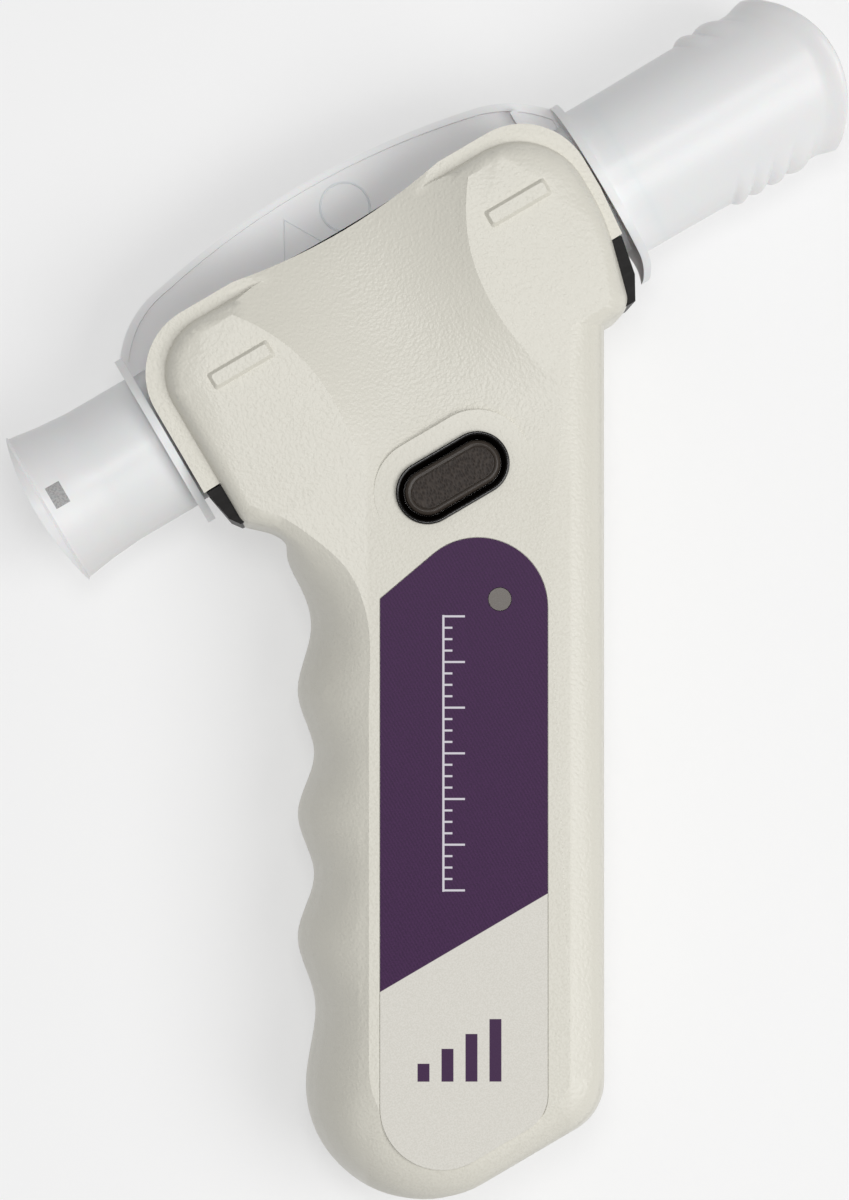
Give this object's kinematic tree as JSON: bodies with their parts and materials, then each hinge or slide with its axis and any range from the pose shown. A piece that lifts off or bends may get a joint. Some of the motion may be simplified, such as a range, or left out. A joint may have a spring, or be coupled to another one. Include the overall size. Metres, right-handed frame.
{
  "type": "spirometer",
  "caption": "Handheld ultrasonic spirometer: a pistol grip housing with finger grips, a cradle and a removable breathing tube.",
  "frame": {"origin": "middle of the bounding box on the plane that the rear face lies on", "axes": "+X along the breathing tube to the mouth, +Y the way the tube lifts out, +Z out of the front face"},
  "size_m": [0.176, 0.169, 0.0435],
  "materials": {
    "shell": "fine moulded grain, warm grey",
    "liner": "smooth black",
    "mouthpiece": "smooth white",
    "screen": "fine mesh",
    "transducer": "satin",
    "seal": "matte",
    "bezel": "satin black",
    "key": "grained charcoal",
    "bracket": "plain",
    "switch": "plain",
    "label": "printed film, purple over silver",
    "clear": "clear, polished",
    "board": "solder resist",
    "chip": "moulded epoxy",
    "can": "tinned",
    "lamp": "clear epoxy",
    "tongue": "plain",
    "screw": "zinc plated"
  },
  "bodies": {
    "housing": {"front_shell": "shell", "rear_shell": "shell", "cradle_liner": "liner", "front_transducer": "transducer", "rear_transducer": "transducer", "front_transducer_seal": "seal", "rear_transducer_seal": "seal", "button_bezel": "bezel", "button_guide": "bracket", "tact_switch": "switch", "board_connector": "switch", "label_plate": "label", "light_pipe": "clear", "main_board": "board", "processor_chip": "chip", "analog_chip": "chip", "shield_can": "can", "crystal": "can", "usb_socket": "can", "status_led": "lamp", "usb_tongue": "tongue", "housing_screws": "screw", "board_screws": "screw"},
    "breathing_tube": {"breathing_tube": "mouthpiece", "front_screen": "screen", "rear_screen": "screen"},
    "button": {"button_cap": "key"},
    "plunger": {"switch_plunger": "switch"}
  },
  "joints": [
    {"name": "tube_lift", "type": "slide", "parent": "housing", "child": "breathing_tube", "axis": [0, 1, 0], "range_m": [0, 0.045]},
    {"name": "button_press", "type": "slide", "parent": "housing", "child": "button", "axis": [0, 0, -1], "range_m": [0, 0.0006], "stiffness_N_per_m": 600, "springref_m": -0.0005},
    {"name": "plunger_press", "type": "slide", "parent": "housing", "child": "plunger", "axis": [0, 0, -1], "range_m": [0, 0.0006]}
  ],
  "couplings": [
    {"joint": "plunger_press", "follows": "button_press", "ratio": 1}
  ]
}
